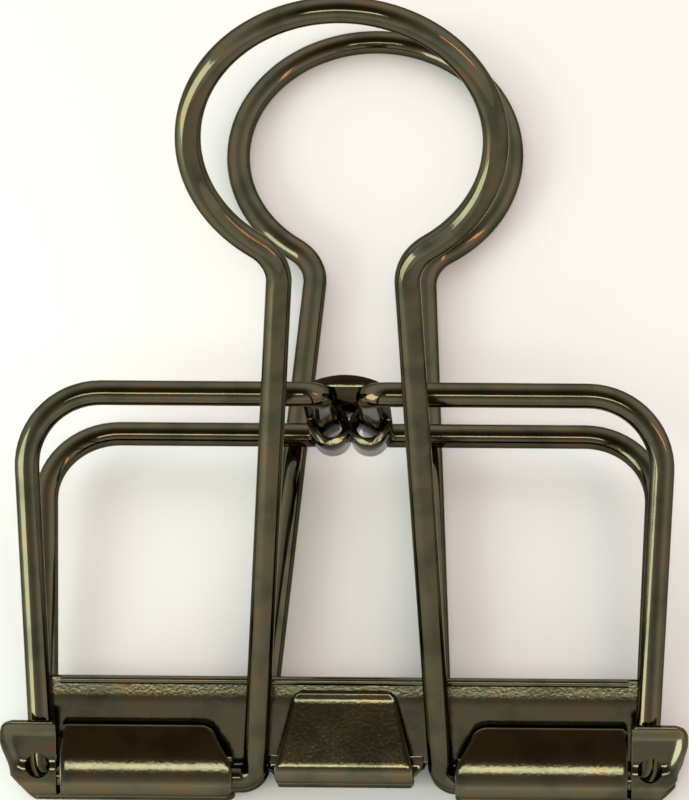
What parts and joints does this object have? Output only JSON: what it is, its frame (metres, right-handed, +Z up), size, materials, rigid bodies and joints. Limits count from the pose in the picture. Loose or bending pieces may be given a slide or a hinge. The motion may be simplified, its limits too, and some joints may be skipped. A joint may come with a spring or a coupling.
{
  "type": "binder clip",
  "caption": "Open-frame binder clip: folded sheet jaws on bent spring wires, a crimped spine sleeve and two keyhole wire handles that fold.",
  "frame": {"origin": "on the bench under the middle of the clip as it lies on its back, at the bottom centre of its box", "axes": "+X along the jaws to the right, +Y from the lips towards the spine and the loops, +Z up, out of the clip's front"},
  "size_m": [0.05, 0.0694, 0.0655],
  "materials": {
    "jaw_plate": "polished dark antique-bronze plate on spring steel sheet",
    "wire_plate": "polished dark antique-bronze plate on drawn steel wire",
    "sleeve_plate": "polished dark antique-bronze plate on crimped steel sheet"
  },
  "bodies": {
    "rear_half": {"back_jaw": "jaw_plate", "left_spring_wire": "wire_plate", "right_spring_wire": "wire_plate", "spine_sleeve": "sleeve_plate"},
    "front_jaw": {"front_jaw": "jaw_plate"},
    "front_handle": {"front_handle": "wire_plate"},
    "back_handle": {"back_handle": "wire_plate"}
  },
  "joints": [
    {"name": "jaw_opening", "type": "hinge", "parent": "rear_half", "child": "front_jaw", "pos_m": [0, -0.01213, 0.02361], "axis": [-1, 0, 0], "range_deg": [0, 35], "stiffness_Nm_per_rad": 0.5, "springref_deg": -20.05, "deforming": ["left_spring_wire", "right_spring_wire"]},
    {"name": "front_handle_hinge", "type": "hinge", "parent": "front_jaw", "child": "front_handle", "pos_m": [0, -0.0332, 0.00436], "axis": [1, 0, 0], "range_deg": [-20, 137]},
    {"name": "back_handle_hinge", "type": "hinge", "parent": "rear_half", "child": "back_handle", "pos_m": [0, -0.032, 0.0015], "axis": [-1, 0, 0], "range_deg": [0, 157]}
  ]
}
